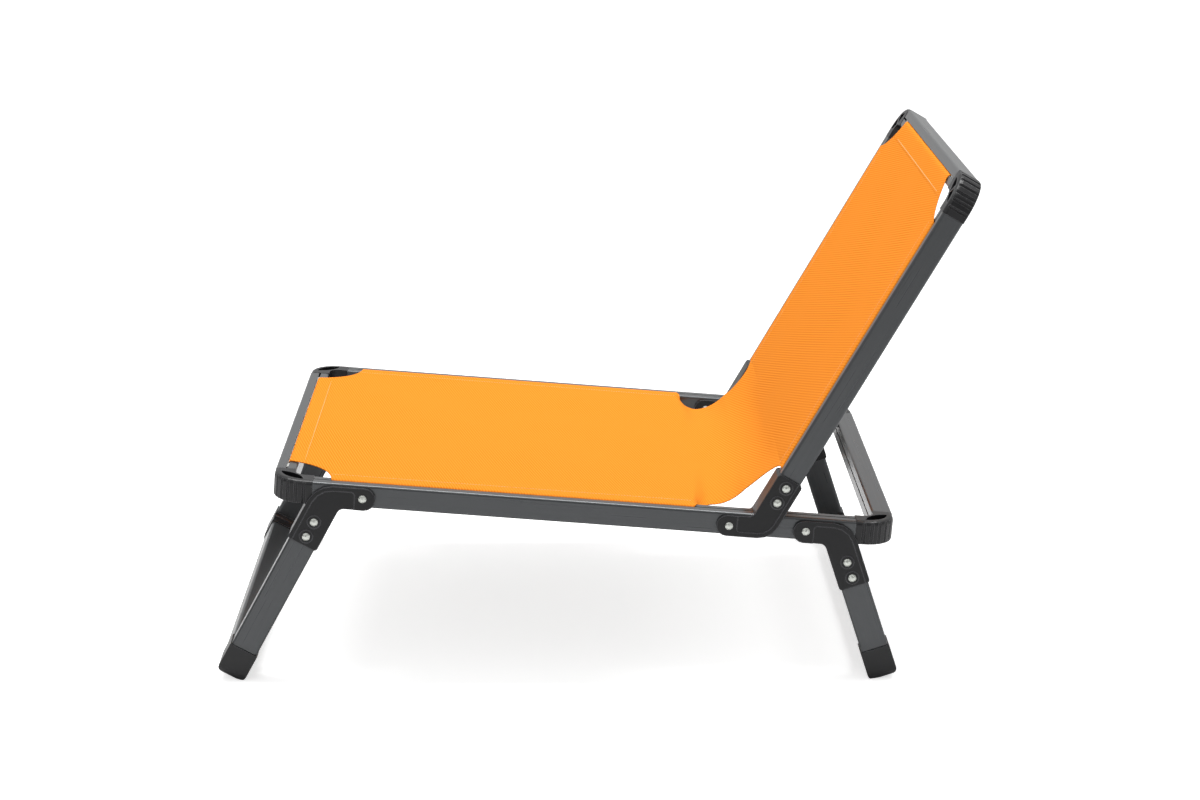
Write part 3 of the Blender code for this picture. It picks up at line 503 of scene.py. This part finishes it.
level = CLOTH_LEVEL + HINGE_DROP
cross = (math.cos(BACK_ANGLE) * level - back_level) / math.sin(BACK_ANGLE)
bend_start = cross - BEND_RADIUS * math.tan(BACK_ANGLE / 2)
hem_end = SEAT_HEM[1] - HINGE_AT
arc_points = [(hem_end + (bend_start - hem_end) * share, level) for share in FLAT_SHARES]
for angle in spread(0.0, BACK_ANGLE, BEND_STEPS):
    arc_points.append((
        bend_start + BEND_RADIUS * math.sin(angle), level + BEND_RADIUS * (1 - math.cos(angle)),
    ))
for x in BELOW_BACK_HEM:
    arc_points.append((
        x * math.cos(BACK_ANGLE) - back_level * math.sin(BACK_ANGLE),
        x * math.sin(BACK_ANGLE) + back_level * math.cos(BACK_ANGLE),
    ))
distances = [0.0]
for before, after in zip(arc_points, arc_points[1:]):
    distances.append(distances[-1] + math.dist(before, after))
length = distances[-1]
for index, (x, z) in enumerate(arc_points):
    before = arc_points[max(index - 1, 0)]
    after = arc_points[min(index + 1, len(arc_points) - 1)]
    slope = math.atan2(after[1] - before[1], after[0] - before[0])
    up = along_seat * -math.sin(slope) + up_seat * math.cos(slope)
    middle = hinge + along_seat * x + up_seat * z
    droop = drooped(distances[index] / length)
    stations.append((middle, up, SLOT_Y - scooped(distances[index], length), 0.0, droop))
print("stations up to the back's hem:", len(stations), "bend in mm:", round(1000 * length, 1))

# %% Stations up the back
BACK_SLOT = 0.4790
TOP_ROLL = 0.0055
BACK_BOW = 0.0070
BACK_STEPS = 26

for x in spread(BACK_HEM[0], BACK_HEM[1] - HEM_GAP, BACK_STEPS):
    stations.append((on_back(x, back_level), up_back, SLOT_Y, 1.0, FLAT))
for x, half in corner_cut(BACK_HEM[1], BACK_SLOT - TOP_ROLL, BACK_BOW)[:-1]:
    stations.append((on_back(x, back_level), up_back, half, 0.0, FLAT))
for angle in reversed(quarter_turns):
    inset, drop = rolled(angle, TOP_ROLL)
    stations.append((on_back(BACK_SLOT - inset, back_level - drop), up_back, BAR_HALF, 0.0, FLAT))
stations.append((on_back(BACK_SLOT, back_level - TUCK), up_back, BAR_HALF, 0.0, FLAT))
runs = [0.0]
for before, after in zip(stations, stations[1:]):
    runs.append(runs[-1] + (after[0] - before[0]).length)
print("stations in all:", len(stations), "cloth length in mm:", round(1000 * runs[-1], 1))

# %% [markdown]
# ## The sling
# A grid with one row for each station is the natural blank: every corner of the grid is carried
# to its place on the cloth. Its UV map holds metres across and along, so the weave and the hems
# can be measured out on it. Solidify then gives the cloth its thickness.

# %% From the grid to the cloth
COLUMNS = 61
CLOTH_THICKNESS = 0.0010
BELLY, BELLY_RUN = 0.0022, 0.12
DROOP_POWER, DIVE_POWER = 2.5, 11
RAIL_INNER = 0.2550
ON_RAIL = 0.0004

edge_profile = [(0.0, TUCK)] + [rolled(angle) for angle in quarter_turns]


def cloth_point(row, column):
    """Place on the cloth of one corner of the grid, and its metres across and along."""
    middle, up, half, tuck, droop = stations[row]
    side = -1 if column < COLUMNS / 2 else 1
    rank = min(column, COLUMNS - 1 - column)
    if rank < len(edge_profile):
        inset, drop = edge_profile[rank]
        across = side * (half - inset)
        drop *= tuck
    else:
        first = len(edge_profile) - 1
        share = (rank - first) / ((COLUMNS - 1) / 2 - first)
        across = side * (half - ROLL_IN) * (1 - share)
        ends = min(runs[row], runs[-1] - runs[row]) / BELLY_RUN
        drop = BELLY * (1 - (across / (half - ROLL_IN)) ** 2) * min(ends, 1)
    outward = abs(across) / half
    drop += droop[0] * outward ** DROOP_POWER + droop[1] * outward ** DIVE_POWER
    if abs(across) > RAIL_INNER - CLOTH_THICKNESS and not tuck:
        drop = min(drop, ON_RAIL)
    return middle + Vector((0, across, 0)) - up * drop, (across, runs[row])


print("rows and columns:", len(stations), COLUMNS)

# %% Sling sheet
SMOOTH_ANGLE = math.radians(50)

bpy.ops.object.select_all(action="DESELECT")
bpy.ops.mesh.primitive_grid_add(
    x_subdivisions=COLUMNS - 1, y_subdivisions=len(stations) - 1, size=2,
)
sling = bpy.context.object
sling.name = "sling_cloth"
mesh = sling.data
uv_of = []
for vertex in mesh.vertices:
    row = round((vertex.co.y + 1) / 2 * (len(stations) - 1))
    column = round((vertex.co.x + 1) / 2 * (COLUMNS - 1))
    place, uv = cloth_point(row, column)
    vertex.co = place
    uv_of.append(uv)
for loop in mesh.loops:
    mesh.uv_layers.active.data[loop.index].uv = uv_of[loop.vertex_index]
mesh.uv_layers.active.name = "metres_on_cloth"
bpy.ops.object.mode_set(mode="EDIT")
bpy.ops.mesh.select_all(action="SELECT")
bpy.ops.mesh.normals_make_consistent(inside=False)
bpy.ops.object.mode_set(mode="OBJECT")
thickness = sling.modifiers.new("cloth_thickness", "SOLIDIFY")
thickness.thickness = CLOTH_THICKNESS
thickness.offset = 0.0
bpy.ops.object.modifier_apply(modifier="cloth_thickness")
bpy.ops.object.shade_smooth_by_angle(angle=SMOOTH_ANGLE)

# %% [markdown]
# ## Sling cloth finish
# The cloth is a coated polyester twill: fine slanting ribs of bright orange thread and hardly
# any gloss. The ribs are drawn from the cloth's own metres, so they bend with it. A rib of such
# cloth is about one millimetre wide; it is drawn at 3.4 mm, or it would be lost from this far.
# The coat covers the ribs unevenly, so they show clearly in one place and fade in another.
# Light that the cloth throws on the paper is kept grey, as a white studio floor shows it.

# %% Coated polyester twill
RIB, RIB_SLANT = 0.0034, math.radians(-75)
WAVE_REPEAT = 0.314
CLOTH_DARK, CLOTH_LIGHT, CLOTH_WARM, CLOTH_THROWN = "#e47510", "#ffa33a", "#f78b22", "#a8a4a0"

twill, tree, surface = finish("coated_polyester_twill")
place = add(tree, "ShaderNodeUVMap", uv_map="metres_on_cloth").outputs[0]
slant = add(tree, "ShaderNodeMapping", {"Vector": place, "Rotation": (0, 0, RIB_SLANT)}).outputs[0]
rib_inputs = {
    "Vector": slant, "Scale": WAVE_REPEAT / RIB,
    "Distortion": 0.2, "Detail": 1.0, "Detail Scale": 1.5,
}
ribs = add(
    tree, "ShaderNodeTexWave", rib_inputs,
    wave_type="BANDS", bands_direction="X", wave_profile="SIN",
).outputs["Fac"]
slub = noise(tree, place, 9.0, 4.0)
clear = remap(tree, slub, (0.35, 0.65), (0.25, 1.0))
showing = calc(tree, "MULTIPLY_ADD", calc(tree, "SUBTRACT", ribs, 0.5), clear, 0.5)
tone = mix(tree, showing, linear(CLOTH_DARK), linear(CLOTH_LIGHT))
cloud = mix(tree, calc(tree, "MULTIPLY", slub, 0.35), tone, linear(CLOTH_WARM))
thrown = add(tree, "ShaderNodeLightPath").outputs["Is Diffuse Ray"]
plug(tree, surface, {
    "Base Color": mix(tree, thrown, cloud, linear(CLOTH_THROWN)),
    "Roughness": 0.72,
    "Specular IOR Level": 0.03,
})
print("ribs to the metre:", round(1 / RIB))

# %% [markdown]
# The hems are two layers thick. A second layer of real cloth would be hidden but for its edge,
# so the hems are a small step in the bump, which gives the eye a fine line beside each seam.

# %% Hems in the bump
SIDE_HEM, FRONT_HEM, TOP_HEM = 0.0225, 0.0230, 0.0300
HEM_STEP = 0.0008

metres = add(tree, "ShaderNodeSeparateXYZ", {0: place})
across = calc(tree, "ABSOLUTE", metres.outputs["X"])
along = metres.outputs["Y"]
side_start, top_start = SLOT_Y - SIDE_HEM, runs[-1] - TOP_HEM
hem_steps = [
    remap(tree, across, (side_start, side_start + HEM_STEP)),
    remap(tree, along, (FRONT_HEM, FRONT_HEM - HEM_STEP)),
    remap(tree, along, (top_start, top_start + HEM_STEP)),
]
hems = calc(tree, "MAXIMUM", calc(tree, "MAXIMUM", hem_steps[0], hem_steps[1]), hem_steps[2])
weave = bump(tree, showing, 0.2, 0.0004)
plug(tree, surface, {"Normal": bump(tree, hems, 0.6, 0.0006, weave)})
sling.data.materials.append(twill)
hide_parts("sling_seat", "sling_bend", "sling_back")
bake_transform(sling)
print("sling:", [round(1000 * side) for side in sling.dimensions], "mm")

# %% [markdown]
# ## Hem stitches
# Each hem is closed by a row of lockstitches in paler thread. One stitch is a six-sided thread
# that comes up out of the cloth, lies on it and dives again. It could be painted in the finish,
# but real thread catches the light from every side. One stitch is extruded from a small disc,
# and an array lays a whole row of them along the hem.

# %% One stitch
STITCH, STITCH_PITCH = 0.0027, 0.0034
THREAD, THREAD_DIVE, THREAD_CROWN = 0.00036, 0.0005, 0.0001

thread, tree, surface = finish("pale_orange_thread")
place = add(tree, "ShaderNodeTexCoord").outputs["Object"]
fibre = noise(tree, place, 2400.0, 3.0)
plug(tree, surface, {
    "Base Color": mix(tree, fibre, linear("#ffac50"), linear("#ffcf94")),
    "Roughness": 0.55,
    "Sheen Weight": 0.2,
    "Normal": bump(tree, fibre, 0.4, 0.0001),
})

bpy.ops.object.select_all(action="DESELECT")
bpy.ops.mesh.primitive_circle_add(
    vertices=6, radius=THREAD, fill_type="NGON", rotation=(0, math.pi / 2, 0),
)
stitch = bpy.context.object
stitch.name = "stitch_master"
bpy.ops.object.transform_apply(location=False, rotation=True, scale=True)
bpy.ops.object.mode_set(mode="EDIT")
bpy.ops.mesh.select_all(action="SELECT")
bpy.ops.transform.translate(value=(-STITCH / 2, 0, -THREAD_DIVE))
for reach, rise in (
    (0.18, THREAD_DIVE), (0.32, THREAD_CROWN), (0.32, -THREAD_CROWN), (0.18, -THREAD_DIVE),
):
    bpy.ops.mesh.extrude_region_move(
        TRANSFORM_OT_translate={"value": (reach * STITCH, 0, rise)},
    )
bpy.ops.mesh.select_all(action="SELECT")
bpy.ops.mesh.normals_make_consistent(inside=False)
bpy.ops.object.mode_set(mode="OBJECT")
print("faces of one stitch:", len(stitch.data.polygons))

# %% [markdown]
# A row belongs to the frame that its hem is fixed to, so each one rides on its own body. The
# thread is let into the cloth a little, or it would seem to float on it.

# %% Rows of stitches
SIDE_SEAM, FRONT_SEAM, TOP_SEAM = 0.0205, 0.0185, 0.0250
SEAM_END = 0.010
SUNK = 0.0003


def stitch_row(name, start, end, up, body):
    """Row of stitches laid on the cloth from start to end."""
    row = stitch.copy()
    row.data = stitch.data.copy()
    row.name = name
    bpy.context.collection.objects.link(row)
    bpy.ops.object.select_all(action="DESELECT")
    row.select_set(True)
    bpy.context.view_layer.objects.active = row
    repeat = row.modifiers.new("row", "ARRAY")
    repeat.use_relative_offset = False
    repeat.use_constant_offset = True
    repeat.constant_offset_displace = (STITCH_PITCH, 0, 0)
    repeat.count = int((end - start).length / STITCH_PITCH)
    bpy.ops.object.modifier_apply(modifier="row")
    along = (end - start).normalized()
    lay = Matrix((along, up.cross(along), up)).transposed().to_4x4()
    row.data.transform(Matrix.Translation(start) @ lay)
    bpy.ops.object.shade_smooth()
    row.data.materials.append(thread)
    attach(row, body)


on_top = CLOTH_LEVEL + CLOTH_THICKNESS / 2 - SUNK
on_back_top = on_top - BACK_OFFSET
seam_y = SLOT_Y - SIDE_SEAM
for side, sign in (("left", -1), ("right", 1)):
    move = Vector((0, sign * seam_y, 0))
    stitch_row(f"seat_stitches_{side}", on_seat(SEAT_HEM[0], on_top) + move,
               on_seat(SEAT_HEM[1], on_top) + move, up_seat, "seat_frame")
    stitch_row(f"back_stitches_{side}", on_back(BACK_HEM[0], on_back_top) + move,
               on_back(BACK_HEM[1], on_back_top) + move, up_back, "backrest")
wide = Vector((0, BAR_HALF - SEAM_END, 0))
front_seam = on_seat(SLOT_IN + FRONT_SEAM, on_top)
top_seam = on_back(BACK_SLOT - TOP_SEAM, on_back_top)
stitch_row("seat_stitches_front", front_seam - wide, front_seam + wide, up_seat, "seat_frame")
stitch_row("back_stitches_top", top_seam - wide, top_seam + wide, up_back, "backrest")
bpy.data.objects.remove(stitch)
